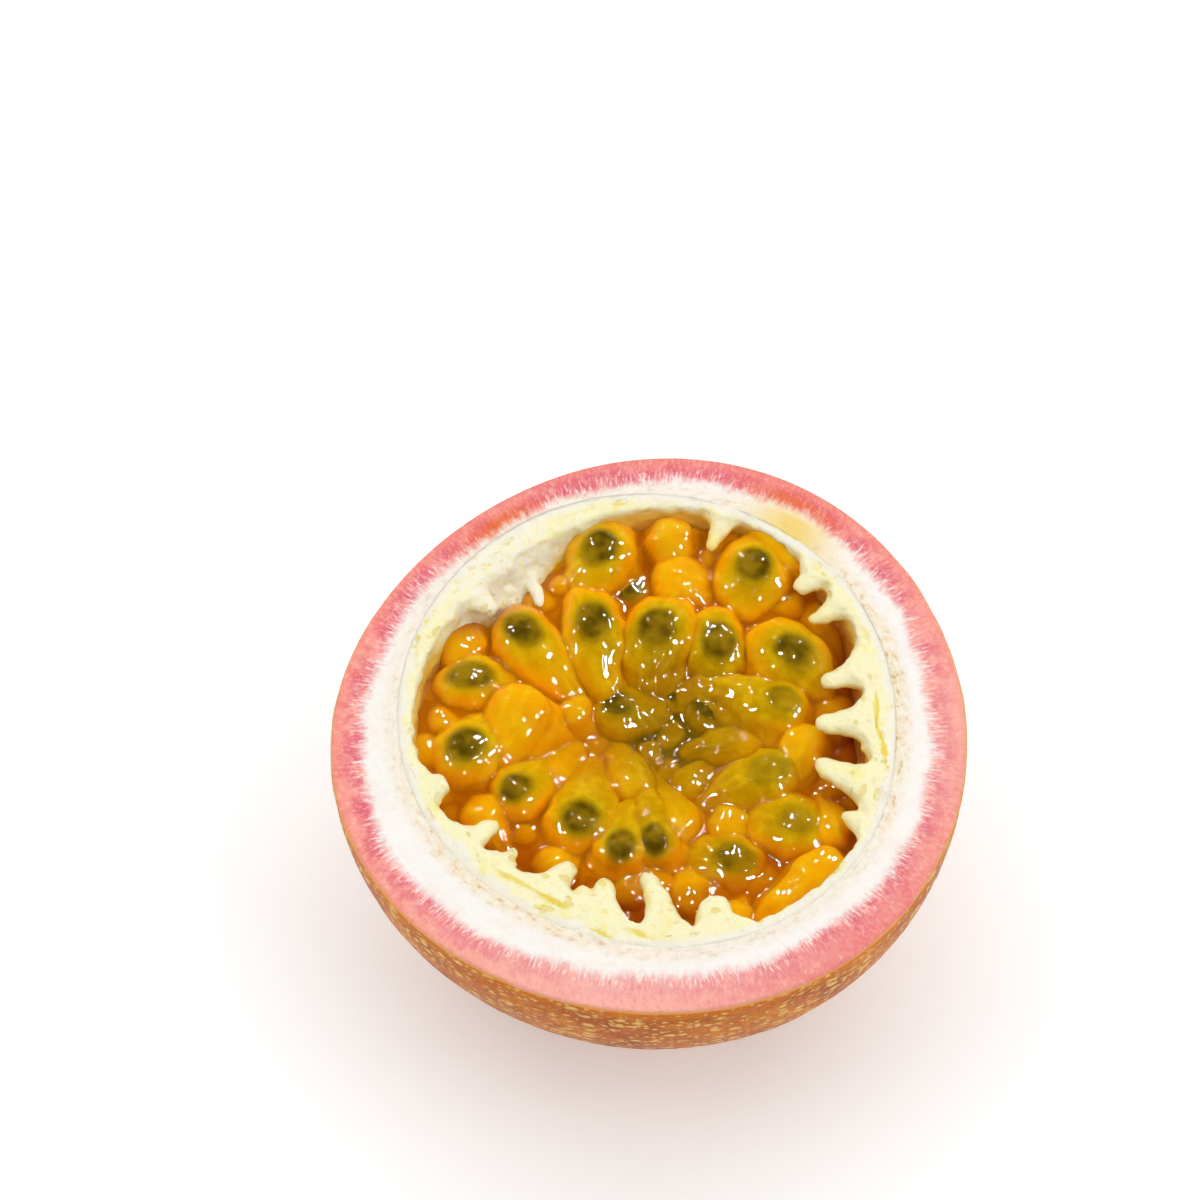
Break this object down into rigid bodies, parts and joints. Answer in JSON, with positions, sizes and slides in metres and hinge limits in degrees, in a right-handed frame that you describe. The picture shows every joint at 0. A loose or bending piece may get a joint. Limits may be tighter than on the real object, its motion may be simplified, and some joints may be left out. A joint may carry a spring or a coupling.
{
  "type": "passion fruit half",
  "caption": "Half of a passion fruit cut across its middle: speckled rind with a pink and white cut wall, cream lining with seed stalks, golden juice sacs and dark seeds.",
  "frame": {"origin": "on the resting plane at the small flat spot of the stem end, under the middle of the cut face", "axes": "+Z out of the cut face; +X to the right and +Y away, as the picture shows the cut face"},
  "size_m": [0.076, 0.076, 0.0374],
  "materials": {
    "rind": "waxy, speckled skin outside; soft pink and white pith at the cut",
    "lining": "moist cream inner skin",
    "pulp": "wet, translucent juice sacs",
    "seed": "dark seeds under wet juice"
  },
  "bodies": {
    "root": {"rind": "rind", "lining": "lining", "pulp": "pulp", "seed_01": "seed", "seed_02": "seed", "seed_03": "seed", "seed_04": "seed", "seed_05": "seed", "seed_06": "seed", "seed_07": "seed", "seed_08": "seed", "seed_09": "seed", "seed_10": "seed", "seed_11": "seed", "seed_12": "seed", "seed_13": "seed", "seed_14": "seed", "seed_15": "seed", "seed_16": "seed", "seed_17": "seed", "seed_18": "seed", "seed_19": "seed", "seed_20": "seed", "seed_21": "seed"}
  },
  "joints": []
}
